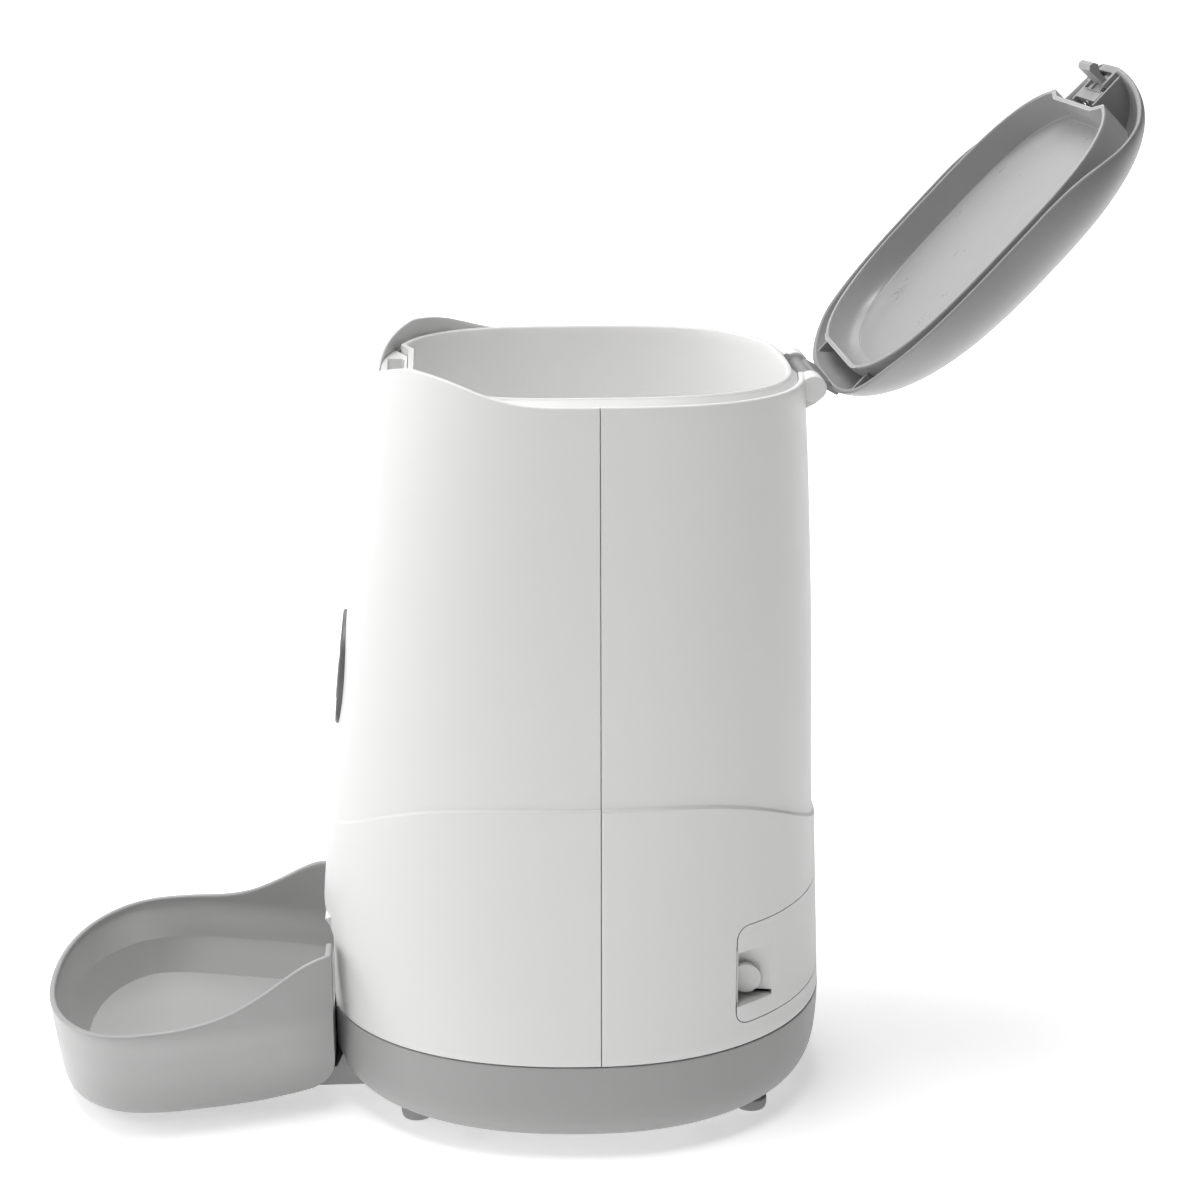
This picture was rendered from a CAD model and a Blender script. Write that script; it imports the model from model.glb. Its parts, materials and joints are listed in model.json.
import json
import bpy, bmesh
import numpy as np
from math import sin, cos, tan, atan2, radians, degrees, pi, hypot, sqrt
from mathutils import Vector, Matrix

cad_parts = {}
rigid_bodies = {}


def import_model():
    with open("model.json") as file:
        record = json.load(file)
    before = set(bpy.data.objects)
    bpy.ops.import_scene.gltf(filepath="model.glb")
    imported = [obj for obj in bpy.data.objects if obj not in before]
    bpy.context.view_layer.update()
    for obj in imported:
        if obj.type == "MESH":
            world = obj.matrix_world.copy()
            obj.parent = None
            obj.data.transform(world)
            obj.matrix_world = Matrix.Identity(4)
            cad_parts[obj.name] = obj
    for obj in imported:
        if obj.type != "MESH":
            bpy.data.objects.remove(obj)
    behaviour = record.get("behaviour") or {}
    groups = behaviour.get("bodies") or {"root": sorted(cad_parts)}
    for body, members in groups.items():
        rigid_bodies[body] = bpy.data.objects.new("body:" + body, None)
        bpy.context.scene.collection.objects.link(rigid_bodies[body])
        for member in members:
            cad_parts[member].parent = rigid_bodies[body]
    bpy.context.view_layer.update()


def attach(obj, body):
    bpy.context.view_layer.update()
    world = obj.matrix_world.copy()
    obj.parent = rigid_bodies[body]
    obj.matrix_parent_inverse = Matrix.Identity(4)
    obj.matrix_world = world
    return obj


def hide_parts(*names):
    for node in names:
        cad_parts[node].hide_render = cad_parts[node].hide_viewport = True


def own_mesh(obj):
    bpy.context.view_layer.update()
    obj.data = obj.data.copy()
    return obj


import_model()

MM = 0.001
SCN = bpy.context.scene
COL = SCN.collection

# ------------------------------------------------------------------ dimensions
# millimetres, drawn with the housing seam at Y = 0; SHIFT_Y takes every piece
# to the frame of the CAD
SHIFT_Y = 5.49
WALL, SEAM, TOP_EDGE_Z = 2.3, 0.3, 292.2
BODY = np.array([
    (39.4, 95.5, 105.0, 93.7, 2.30, 2.10),
    (70.0, 95.1, 106.6, 92.5, 2.36, 2.16),
    (105.0, 94.4, 103.8, 91.0, 2.42, 2.25),
    (141.0, 93.8, 100.6, 89.7, 2.47, 2.35),
    (182.0, 93.0, 96.7, 88.7, 2.52, 2.48),
    (231.0, 91.3, 91.0, 86.7, 2.57, 2.62),
    (279.0, 89.6, 84.3, 83.9, 2.60, 2.80),
    (312.0, 88.2, 79.2, 81.2, 2.60, 2.90)])
STEP_OUT, STEP_SIDE_Z = 1.0, 141.6
HINGE_Y, HINGE_Z, OPEN_DEG = 84.8, 287.8, 132.7
DOCK_Y = -102.6
COVER_Z0, COVER_Z1, COVER_Y, COVER_R = 48.5, 88.5, 53.0, 5.0
POCK_Z0, POCK_Z1, POCK_Y1, POCK_X0, POCK_X1 = 56.0, 78.2, 69.4, 66.6, 69.4
KN_IN, KN_OUT, KN_R = 20.6, 33.5, 5.0


# ----------------------------------------------------------------- small maths
def pchip(xs, ys, x):
    """Smooth curve through points, without overshoot."""
    xs, ys, x = np.asarray(xs, float), np.asarray(ys, float), np.asarray(x, float)
    h = np.diff(xs)
    d = np.diff(ys) / h
    m = np.zeros_like(ys)
    for i in range(1, len(xs) - 1):
        if d[i - 1] * d[i] > 0:
            w1, w2 = 2 * h[i] + h[i - 1], h[i] + 2 * h[i - 1]
            m[i] = (w1 + w2) / (w1 / d[i - 1] + w2 / d[i])
    m[0], m[-1] = d[0], d[-1]
    x = np.clip(x, xs[0], xs[-1])
    i = np.clip(np.searchsorted(xs, x) - 1, 0, len(h) - 1)
    t = (x - xs[i]) / h[i]
    return ((2 * t**3 - 3 * t**2 + 1) * ys[i] + (t**3 - 2 * t**2 + t) * h[i] * m[i]
            + (-2 * t**3 + 3 * t**2) * ys[i + 1] + (t**3 - t**2) * h[i] * m[i + 1])


def spline(xs, ys, x):
    """Natural cubic curve through points."""
    xs, ys, x = np.asarray(xs, float), np.asarray(ys, float), np.asarray(x, float)
    n = len(xs)
    h = np.diff(xs)
    A = np.eye(n)
    r = np.zeros(n)
    for i in range(1, n - 1):
        A[i, i - 1:i + 2] = h[i - 1], 2 * (h[i - 1] + h[i]), h[i]
        r[i] = 6 * ((ys[i + 1] - ys[i]) / h[i] - (ys[i] - ys[i - 1]) / h[i - 1])
    M = np.linalg.solve(A, r)
    i = np.clip(np.searchsorted(xs, x) - 1, 0, n - 2)
    a, b = xs[i + 1] - x, x - xs[i]
    return (M[i] * a**3 + M[i + 1] * b**3) / (6 * h[i]) + (ys[i] / h[i] - M[i] * h[i] / 6) * a + (ys[i + 1] / h[i] - M[i + 1] * h[i] / 6) * b


def smooth(u):
    u = np.clip(u, 0.0, 1.0)
    return u * u * (3 - 2 * u)


def sup_xy(t, a, bf, br, nf, nr, off=0.0):
    """Offset super-ellipse at angle t; all arguments may be arrays."""
    t, a, bf, br, nf, nr, off = np.broadcast_arrays(t, a, bf, br, nf, nr, off)

    def rad(u):
        b = np.where(np.sin(u) < 0, bf, br)
        n = np.where(np.sin(u) < 0, nf, nr)
        return (np.abs(np.cos(u) / a) ** n + np.abs(np.sin(u) / b) ** n) ** (-1.0 / n)
    e = 1e-3
    r, r1, r2 = rad(t), rad(t - e), rad(t + e)
    dx = r2 * np.cos(t + e) - r1 * np.cos(t - e)
    dy = r2 * np.sin(t + e) - r1 * np.sin(t - e)
    m = np.hypot(dx, dy)
    return r * np.cos(t) - dy / m * off, r * np.sin(t) + dx / m * off


def even_angles(n, args, t0, t1, closed=False):
    """Angles that walk an outline in equal steps of length."""
    t = np.linspace(t0, t1, 4001)
    x, y = sup_xy(t, *args)
    s = np.concatenate([[0], np.cumsum(np.hypot(np.diff(x), np.diff(y)))])
    g = np.linspace(0, s[-1], n + 1 if closed else n)
    return np.interp(g, s, t)[:n]


# --------------------------------------------------------------- mesh building
def mesh_obj(name, verts, faces, scale=MM):
    me = bpy.data.meshes.new(name)
    me.from_pydata([tuple(v) for v in (np.asarray(verts, float) + (0.0, SHIFT_Y, 0.0)) * scale], [], [list(map(int, f)) for f in faces])
    me.update()
    bm = bmesh.new()
    bm.from_mesh(me)
    bmesh.ops.remove_doubles(bm, verts=bm.verts, dist=2e-6)
    bmesh.ops.dissolve_degenerate(bm, edges=bm.edges, dist=1e-6)
    bmesh.ops.recalc_face_normals(bm, faces=bm.faces)
    bm.to_mesh(me)
    bm.free()
    ob = bpy.data.objects.new(name, me)
    COL.objects.link(ob)
    return ob


def quads(R, C, wrap_r=False, wrap_c=False, base=0):
    r = np.arange(R if wrap_r else R - 1)
    c = np.arange(C if wrap_c else C - 1)
    rr, cc = np.meshgrid(r, c, indexing="ij")
    a, b = rr * C + cc, rr * C + (cc + 1) % C
    d, e = ((rr + 1) % R) * C + cc, ((rr + 1) % R) * C + (cc + 1) % C
    return (np.stack([a, b, e, d], -1).reshape(-1, 4) + base).tolist()


def tub_obj(name, P, cap_first=True, cap_last=True):
    """Closed body from rings P[row, column]; the first and last rings are filled."""
    R, C = P.shape[:2]
    V = P.reshape(-1, 3).tolist()
    F = quads(R, C, False, True)
    for row, on in ((0, cap_first), (R - 1, cap_last)):
        if on:
            V.append(P[row].mean(0).tolist())
            k = len(V) - 1
            F += [[row * C + i, row * C + (i + 1) % C, k] for i in range(C)]
    return mesh_obj(name, V, F)


def prism(pts, vec):
    """Outline (3D points, mm) pushed along vec."""
    pts = np.asarray(pts, float)
    n = len(pts)
    V = np.concatenate([pts, pts + np.asarray(vec, float)])
    F = [list(range(n))[::-1], list(range(n, 2 * n))] + [[i, (i + 1) % n, n + (i + 1) % n, n + i] for i in range(n)]
    return mesh_obj("tool", V, F)


def prism_x(pts, x0, x1):
    return prism([(x0, y, z) for y, z in pts], (x1 - x0, 0, 0))


def prism_z(pts, z0, z1):
    return prism([(x, y, z0) for x, y in pts], (0, 0, z1 - z0))


def box(x0, x1, y0, y1, z0, z1):
    x0, x1 = min(x0, x1), max(x0, x1)
    return prism([(x0, y0, z0), (x1, y0, z0), (x1, y1, z0), (x0, y1, z0)], (0, 0, z1 - z0))


def bar(r, p0, p1, n=64, chamfer=0.0):
    """Round bar, with its end edges rounded over."""
    p0, p1 = np.array(p0, float), np.array(p1, float)
    d = p1 - p0
    L = np.linalg.norm(d)
    d /= L
    u = np.cross(d, (0, 0, 1) if abs(d[2]) < 0.9 else (1, 0, 0))
    u /= np.linalg.norm(u)
    v = np.cross(d, u)
    a = np.linspace(0, 2 * pi, n, endpoint=False)
    rows = []
    if chamfer:
        q = np.linspace(0, pi / 2, 5)
        prof = [(r - chamfer + chamfer * sin(t), chamfer - chamfer * cos(t)) for t in q]
        prof += [(rr, L - z) for rr, z in reversed(prof)]
    else:
        prof = [(r, 0), (r, L)]
    for rr, z in prof:
        rows.append(p0 + d * z + rr * (np.cos(a)[:, None] * u + np.sin(a)[:, None] * v))
    return tub_obj("tool", np.array(rows))


def boolean(ob, tool, op="DIFFERENCE", keep=False):
    m = ob.modifiers.new("b", "BOOLEAN")
    m.operation, m.object = op, tool
    before = len(ob.data.polygons)
    for solver in ("MANIFOLD", "EXACT"):
        m.solver = solver
        me = bpy.data.meshes.new_from_object(ob.evaluated_get(bpy.context.evaluated_depsgraph_get()))
        if len(me.polygons) > 3:
            break
    ob.modifiers.clear()
    old = ob.data
    ob.data = me
    bpy.data.meshes.remove(old)
    if not keep:
        tm = tool.data
        bpy.data.objects.remove(tool)
        bpy.data.meshes.remove(tm)
    if len(me.polygons) <= 3:
        print("BOOLEAN EMPTY", ob.name, before)
    return ob


def cut(ob, *tools):
    for t in tools:
        boolean(ob, t, "DIFFERENCE")
    return ob


def add(ob, *tools):
    for t in tools:
        boolean(ob, t, "UNION")
    return ob


def keep_in(ob, *tools):
    for t in tools:
        boolean(ob, t, "INTERSECT")
    return ob


def clone(ob):
    c = bpy.data.objects.new(ob.name + "_c", ob.data.copy())
    COL.objects.link(c)
    return c


def finish_mesh(ob, name, angle=32.0, bevel=0.0):
    """Cleans up after the cuts and shades the piece smooth, with crisp edges."""
    me = ob.data
    for merge in (4e-6, 1e-6, 0.0):      # the coarsest cleaning that leaves the piece closed
        bm = bmesh.new()
        bm.from_mesh(me)
        if merge:
            bmesh.ops.remove_doubles(bm, verts=bm.verts, dist=merge)
            bmesh.ops.dissolve_degenerate(bm, edges=bm.edges, dist=merge * 0.75)
        loose = [v for v in bm.verts if not v.link_faces]
        bmesh.ops.delete(bm, geom=loose, context="VERTS")
        closed = all(e.is_manifold for e in bm.edges)
        if closed or not merge:
            bm.to_mesh(me)
            bm.free()
            break
        bm.free()
    ob.name = name
    me.name = name
    me.shade_smooth()
    me.set_sharp_from_angle(angle=radians(angle))
    return ob


def swing(ob):
    """Takes a piece drawn closed to the open pose."""
    hy, hz = (HINGE_Y + SHIFT_Y) * MM, HINGE_Z * MM
    M = Matrix.Translation((0, hy, hz)) @ Matrix.Rotation(radians(-OPEN_DEG), 4, "X") @ Matrix.Translation((0, -hy, -hz))
    ob.data.transform(M)
    return ob


def stand_for(ob, node, body):
    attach(ob, body)
    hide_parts(node)
    return ob


# ------------------------------------------------------------- housing surface
UPZ = np.array([100.0, 141.0, 182.0, 231.0, 279.0, 306.0])
LOZ = np.array([39.4, 70.0, 105.0, 150.0])


def rows_at(z, knots):
    vals = [np.interp(knots, BODY[:, 0], BODY[:, k]) for k in range(1, 6)]
    return [spline(knots, v, z) for v in vals]


def skin(t, z, off, low):
    """Point of the housing skin; low chooses the part under the step."""
    a, bf, br, nf, nr = rows_at(z, LOZ if low else UPZ)
    return sup_xy(t, a, bf, br, nf, nr, off)


def arch_z(y):
    return np.where(y < 0, STEP_SIDE_Z - 20.0 * (np.maximum(-y, 0) / 95.0) ** 4, STEP_SIDE_Z - 24.5 * (np.maximum(y, 0) / 86.5) ** 3.5)


T = TOP_EDGE_Z
CREST_Y = np.array([(-100, T + 9.6), (-78, T + 9.6), (-70, T + 9.5), (-62, T + 8.9), (-55, T + 7.6), (-48, T + 5.5), (-41, T + 3.3), (-34, T + 1.6), (-26, T + 0.5),
                    (-16, T), (0, T), (20, T), (40, T), (60, T), (72, T), (84, T), (100, T)])
CREST_X = np.array([(0, 292.0), (7, 292.2), (17, 293.3), (30, 296.0), (44, 299.0), (52, 300.6), (60, 301.9), (72, 303.0), (100, 303.5)])


def crest(x, y):
    zy = pchip(CREST_Y[:, 0], CREST_Y[:, 1], y)
    zx = pchip(CREST_X[:, 0], CREST_X[:, 1], np.abs(x))
    w = smooth((-y - 47.0) / 6.0)
    return zy * (1 - w) + np.minimum(zy, zx) * w


def seam_columns(n):
    """Angles of one half outline, closer together at both seams, and the distance of each from the seam."""
    t = even_angles(n, (93.0, 90.0, 90.0, 2.5, 2.5), 0.0, pi)
    d = np.array([0.0, 0.05, 0.13, 0.24, 0.38, 0.55, 0.9])
    ts = d / 93.0
    keep = t[(t > 2.4 / 93.0) & (t < pi - 2.4 / 93.0)]
    return np.concatenate([ts, keep, pi - ts[::-1]])


def half_shell(name, front, n=170):
    sg = -1.0 if front else 1.0
    tc = seam_columns(n) * sg
    C = len(tc)
    SOFT = 0.5                       # rounding of the edge along the seam

    def row(zf, off, soft):
        """zf(x, y) is the height of the row; solved with the outline itself."""
        z = np.full(C, 150.0)
        for _ in range(14):
            x, y = place(z, off, 0.0)
            z = zf(x, y)
        x, y = place(z, off, soft)
        return np.stack([x, y, z], -1)

    def place(z, off, soft):
        za = arch_now(z)
        w = 0.5 - 0.5 * np.sin(np.clip((z - za) / 0.7, -1, 1) * pi / 2)     # 1 below the step
        a, bf, br, nf, nr = [lo * w + up * (1 - w) for lo, up in zip(rows_at(z, LOZ), rows_at(z, UPZ))]
        o = off - STEP_OUT * w * (1.0 if soft >= 0 else 0.0)
        x, y = sup_xy(tc, a, bf, br, nf, nr, o)
        if soft > 0:
            d = np.abs(y)
            k = np.where(d < SOFT, SOFT - np.sqrt(np.maximum(SOFT**2 - (SOFT - d) ** 2, 0)), 0.0)
            x, y2 = sup_xy(tc, a, bf, br, nf, nr, o + k)
        y = sg * np.maximum(np.abs(y), SEAM / 2)
        return x, y

    def arch_now(z):
        a, bf, br, nf, nr = rows_at(z, UPZ)
        _, y = sup_xy(tc, a, bf, br, nf, nr, 0.0)
        return arch_z(y)

    rows = []
    # outside, upwards: rounded lower edge, lower part, step, upper part, rounded upper edge
    for t in np.radians([0, 30, 60]):
        rows.append(row(lambda x, y, t=t: np.full(C, 39.4 + 0.5 * (1 - cos(t))), 0.5 * (1 - sin(t)), 1.0))
    for f in np.linspace(0, 1, 26):
        rows.append(row(lambda x, y, f=f: 39.9 + (arch_z(y) - 0.9 - 39.9) * f, 0.0, 1.0))
    for d in np.linspace(-0.75, 0.8, 15):
        rows.append(row(lambda x, y, d=d: arch_z(y) + d, 0.0, 1.0))
    for f in np.linspace(0, 1, 40)[1:]:
        rows.append(row(lambda x, y, f=f: arch_z(y) + 0.8 + (crest(x, y) - 0.7 - arch_z(y) - 0.8) * f, 0.0, 1.0))
    for t in np.linspace(0, pi / 2, 6)[1:]:
        rows.append(row(lambda x, y, t=t: crest(x, y) - 0.7 + 0.7 * sin(t), 0.7 * (1 - cos(t)), 1.0))
    outer = rows
    # inside, downwards, as many rows as outside
    inner = []
    for k, o in enumerate(outer):
        zz = o[:, 2]
        if k >= len(outer) - 5:
            t = np.linspace(0, pi / 2, 6)[1:][k - len(outer)]
            off = WALL - 0.7 * (1 - cos(t))
        elif k < 3:
            off = WALL - 0.5 * (1 - sin(radians(30 * k)))
        else:
            off = WALL
        a, bf, br, nf, nr = rows_at(zz, UPZ)
        w = smooth((110 - zz) / 8)
        lo = rows_at(zz, LOZ)
        a, bf, br, nf, nr = [l * w + u * (1 - w) for l, u in zip(lo, (a, bf, br, nf, nr))]
        x, y = sup_xy(tc, a, bf, br, nf, nr, off)
        y = sg * np.maximum(np.abs(y), SEAM / 2)
        inner.append(np.stack([x, y, zz], -1))
    P = np.array(outer + inner[::-1])
    L = len(P)
    V = P.reshape(-1, 3)
    F = quads(L, C, True, False)
    for c in (0, C - 1):
        for k in range(L // 2 - 1):
            F.append([k * C + c, (k + 1) * C + c, (L - 2 - k) * C + c, (L - 1 - k) * C + c])
    return mesh_obj(name, V, F)


def round_rect(y0, y1, z0, z1, r, n=10):
    pts = []
    for cy, cz, a0 in ((y1 - r, z1 - r, 0), (y0 + r, z1 - r, 90), (y0 + r, z0 + r, 180), (y1 - r, z0 + r, 270)):
        for i in range(n + 1):
            a = radians(a0 + 90 * i / n)
            pts.append((cy + r * cos(a), cz + r * sin(a)))
    return pts


def hatch(grow):
    return prism_x(round_rect(COVER_Y - grow, 140, COVER_Z0 - grow, COVER_Z1 + grow, COVER_R + grow, 12), -120, 120)


def c_band(zs, off_out, off_in, n=150, low=True):
    """Thin rear half band between two offsets, as a closed body."""
    tc = even_angles(n, (93.0, 90.0, 90.0, 2.5, 2.2), 0.0, pi)
    C = len(tc)
    out, inn = [], []
    for z in zs:
        for lst, off in ((out, off_out), (inn, off_in)):
            x, y = skin(tc, np.full(C, z), off, low)
            lst.append(np.stack([x, np.maximum(y, SEAM / 2), np.full(C, z)], -1))
    P = np.array(out + inn[::-1])
    L = len(P)
    F = quads(L, C, True, False)
    for c in (0, C - 1):
        for k in range(L // 2 - 1):
            F.append([k * C + c, (k + 1) * C + c, (L - 2 - k) * C + c, (L - 1 - k) * C + c])
    return mesh_obj("tool", P.reshape(-1, 3), F)


def pocket_prism(sx, g, z0, z1, y_front):
    return prism_z([(sx * (POCK_X0 - g), y_front), (sx * (POCK_X1 - g), POCK_Y1 + g), (sx * 100, POCK_Y1 + g), (sx * 100, y_front)], z0, z1)


# ---------------------------------------------------------------- front housing
def disc_on_panel(r, d0, d1, n=96):
    """Round bar square to the tilted front face, d measured outwards from it."""
    o = np.array([0.0, PANEL_FACE_Y, 171.5])
    nrm = np.array([0.0, -cos(radians(FRONT_TILT)), sin(radians(FRONT_TILT))])
    return bar(r, o + nrm * d0, o + nrm * d1, n)


FRONT_TILT = degrees(atan2(BODY[3][2] - BODY[4][2], BODY[4][0] - BODY[3][0]))
PANEL_FACE_Y = -(BODY[3][2] + (BODY[4][2] - BODY[3][2]) * (171.5 - BODY[3][0]) / (BODY[4][0] - BODY[3][0]))

f_sh = half_shell("front_housing", True)
cut(f_sh, prism_x([(DOCK_Y, 20), (DOCK_Y, 71), (DOCK_Y - 9, 84), (-130, 84), (-130, 20)], -62, 62))
add(f_sh, prism_x([(DOCK_Y + 0.3, 39.4), (DOCK_Y + 0.3, 71.4), (DOCK_Y - 3.4, 76.8), (DOCK_Y - 1.2, 77.6), (DOCK_Y + 2.5, 72.1), (DOCK_Y + 2.5, 39.4)], -33.5, 33.5))
cut(f_sh, prism([(x, -112, z) for x, z in round_rect(-27, 27, 44.5, 70, 2.0)], (0, 18, 0)))
cut(f_sh, disc_on_panel(20.5, -7, 7), disc_on_panel(23.15, -1.3, 8.7))
finish_mesh(f_sh, "front_housing")
stand_for(f_sh, "front_shell", "housing")

# ----------------------------------------------------------------- rear housing
r_sh = half_shell("rear_housing", False)
cut(r_sh, box(-KN_IN + 0.1, KN_IN - 0.1, 77.6, 100, 281.6, 300))
cut(r_sh, hatch(0.35))
for sx in (-1, 1):
    cut(r_sh, box(sx * 60, sx * 100, COVER_Y - 0.45, 76, POCK_Z0 - 2.4, POCK_Z1 + 2.4))
ledge = c_band([42.0, 56.0, 70.0, 88.0, 105.0], WALL - 0.5, WALL + 1.7)
keep_in(ledge, box(-120, 120, COVER_Y - 7, 130, COVER_Z0 - 5.0, COVER_Z1 + 5.5))
cut(ledge, hatch(-3.5))
for x in (-36, 36):
    cut(ledge, box(x - 8.4, x + 8.4, 60, 110, COVER_Z0 - 0.4, COVER_Z0 + 4))
for sx in (-1, 1):
    cut(ledge, box(sx * 60, sx * 100, COVER_Y - 0.45, 76, POCK_Z0 - 2.4, POCK_Z1 + 2.4))
add(r_sh, ledge)
for sx in (-1, 1):
    web = [(HINGE_Y - 4.9, HINGE_Z + 0.9), (HINGE_Y + 0.5, HINGE_Z), (HINGE_Y + 4.85, HINGE_Z - 1.2), (HINGE_Y + 3.6, HINGE_Z - 3.4),
           (HINGE_Y + 0.8, HINGE_Z - 5.6), (HINGE_Y - 2.6, HINGE_Z - 7.4), (HINGE_Y - 4.9, HINGE_Z - 7.6)]
    kn = bar(KN_R, (sx * KN_IN, HINGE_Y, HINGE_Z), (sx * KN_OUT, HINGE_Y, HINGE_Z), 72, 0.7)
    add(kn, prism_x(web, sx * (KN_IN + 0.5), sx * (KN_OUT - 0.5)))
    add(r_sh, kn)
cut(r_sh, bar(1.5, (-32.4, HINGE_Y, HINGE_Z), (32.4, HINGE_Y, HINGE_Z), 48))
for x in (-15.0, 0.0, 15.0):
    add(r_sh, prism_x([(78.4, 268.0), (82.4, 268.0), (82.4, 281.4), (80.4, 281.4), (80.4, 285.4), (79.8, 286.0), (78.4, 286.0)], x - 0.6, x + 0.6))
finish_mesh(r_sh, "rear_housing")
stand_for(r_sh, "rear_shell", "housing")

pin = bar(1.49, (-32.3, HINGE_Y, HINGE_Z), (32.3, HINGE_Y, HINGE_Z), 48, 0.3)
finish_mesh(pin, "hinge_rod")
stand_for(pin, "hinge_pin", "housing")

# ---------------------------------------------------------------- battery cover
b_co = c_band(np.linspace(42, 105, 22), -STEP_OUT, WALL - 0.8, 190)
keep_in(b_co, hatch(0.0))
core = tub_obj("tool", np.array([np.stack([*skin2, np.full(240, z)], -1) for z in np.linspace(44, 105, 10)
                                for skin2 in [sup_xy(np.linspace(0, 2 * pi, 240, endpoint=False), *rows_at(np.full(240, z), LOZ), 0.2)]]))
for sx in (-1, 1):
    tub = pocket_prism(sx, 1.6, POCK_Z0 - 1.6, POCK_Z1 + 1.6, COVER_Y)
    boolean(tub, core, "INTERSECT", keep=True)
    add(b_co, tub)
bpy.data.objects.remove(core)
for sx in (-1, 1):
    cut(b_co, pocket_prism(sx, 0.0, POCK_Z0, POCK_Z1, COVER_Y + 0.7))
    cut(b_co, box(sx * 79.0, sx * 100, COVER_Y - 1, COVER_Y + 2, POCK_Z0, POCK_Z1))
    cut(b_co, box(sx * 60, sx * 72, 60.7, 67.9, POCK_Z0 + 0.1, POCK_Z0 + 1.7))
    cut(b_co, box(sx * 60, sx * 72, 57.6 - 1.9, 57.6 + 5.2, 63.5 - 1.8, 63.5 + 1.8))
for x in (-36, 36):
    tg = c_band([42.0, 56.0, 70.0], 0.6, WALL + 3.3)
    keep_in(tg, box(x - 8, x + 8, 60, 92, COVER_Z0 + 0.1, COVER_Z0 + 1.6))
    add(b_co, tg)
finish_mesh(b_co, "battery_door")
stand_for(b_co, "battery_cover", "cover")


# -------------------------------------------------------------------- base tray
BASE_Z = [5.0, 5.6, 7.8, 11.5, 16.0, 22.0, 28.0, 34.0, 39.0]
BASE_K = [0.852, 0.868, 0.918, 0.955, 0.977, 0.990, 0.996, 0.999, 1.0]


def base_xy(t, z, off=0.0):
    k = pchip(BASE_Z, BASE_K, z)
    return sup_xy(t, 96.5 * k, 106.0 * k, 94.8 * k, 2.30, 2.10, off)


tb = even_angles(360, (96.5, 106.0, 94.8, 2.3, 2.1), 0, 2 * pi, closed=True)
rows = []


def base_row(z, off):
    x, y = base_xy(tb, np.full(len(tb), z), off)
    return np.stack([x, y, np.full(len(tb), z)], -1)


# bottom outside, wall, rounded upper edge, inside wall, floor
rows.append(base_row(5.0, 6.0))
for z, o in ((5.0, 1.2), (5.04, 0.6), (5.2, 0.2)):
    rows.append(base_row(z, o))
for z in np.concatenate([np.linspace(5.6, 12, 12), np.linspace(13, 38.5, 24)]):
    rows.append(base_row(z, 0.0))
for t in np.radians([22, 45, 68, 90]):
    rows.append(base_row(38.5 + 0.5 * sin(t), 0.5 * (1 - cos(t))))
for t in np.radians([90, 68, 45, 22, 0]):
    rows.append(base_row(38.5 + 0.5 * sin(t), 2.4 - 0.5 * (1 - cos(t))))
for z in np.linspace(36, 9.4, 14):
    rows.append(base_row(z, 2.4))
rows.append(base_row(8.5, 3.0))
rows.append(base_row(8.2, 4.2))
tray = tub_obj("base", np.array(rows))
full_base = tub_obj("tool", np.array([r for r in rows[:41]]))
cut(tray, prism_x([(DOCK_Y, -5), (DOCK_Y, 60), (-130, 60), (-130, -5)], -70, 70))
bw = prism_x([(DOCK_Y, 5), (DOCK_Y, 39), (DOCK_Y + 2.4, 39), (DOCK_Y + 2.4, 5)], -62, 62)
boolean(bw, full_base, "INTERSECT")
add(tray, bw)


def ring_solid(z0, z1, off):
    a = np.stack([*base_xy(tb, np.full(len(tb), 39.0), off), np.full(len(tb), z0)], -1)
    b = a.copy()
    b[:, 2] = z1
    return tub_obj("tool", np.array([a, b]))


lip = ring_solid(37.5, 42.1, 3.8)
add(lip, ring_solid(35.2, 38.2, 1.8))
cut(lip, ring_solid(35.0, 45.0, 5.4), box(-60, 60, -130, DOCK_Y + 8, 0, 60))
add(tray, lip)
tongue = prism_x([(-90, 5.0), (-148, 5.0), (-150, 6.6), (-150, 9.0), (-146, 10.2), (-102.8, 13.0), (-98, 24.0), (-96, 24.0), (-90, 12.0)], -33, 33)
cut(tongue, prism_x([(-106, 3), (-146.5, 3), (-146.5, 7.4), (-106, 10.2)], -30.5, 30.5))
add(tray, tongue)
FOOT_XY = [(52.2, -70.6), (-52.2, -70.6), (52.2, 62.6), (-52.2, 62.6)]
for x, y in FOOT_XY:
    cut(tray, bar(5.0, (x, y, 4.0), (x, y, 6.6), 48))
for x, y in ((70, -48), (-70, -48), (70, 44), (-70, 44)):
    add(tray, bar(5.2, (x, y, 7.5), (x, y, 36), 48))
    cut(tray, bar(3.4, (x, y, 4), (x, y, 26), 40), bar(1.7, (x, y, 20), (x, y, 40), 32))
cut(tray, bar(5.2, (0, 80, 24.0), (0, 100, 24.0), 64))
finish_mesh(tray, "base")
stand_for(tray, "base_tray", "housing")

# feet: a turned pad with a rounded lower edge, a shallow cup underneath and a stem into the base
FOOT = [(2.2, 0.75), (2.9, 0.62), (3.3, 0.30), (3.7, 0.06), (4.2, 0.0), (5.0, 0.04), (5.6, 0.34), (6.0, 0.95), (6.25, 2.2), (6.4, 4.0),
        (6.3, 4.6), (6.0, 4.86), (5.4, 4.92), (4.9, 4.92), (4.86, 5.6), (4.7, 6.3), (4.3, 6.45)]
tf = np.linspace(0, 2 * pi, 72, endpoint=False)


def foot_at(x, y):
    return tub_obj("tool", np.array([np.stack([x + r * np.cos(tf), y + r * np.sin(tf), np.full(len(tf), z)], -1) for r, z in FOOT]))


pads = foot_at(*FOOT_XY[0])
add(pads, *[foot_at(x, y) for x, y in FOOT_XY[1:]])
finish_mesh(pads, "foot_pads")
stand_for(pads, "rubber_feet", "housing")

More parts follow.
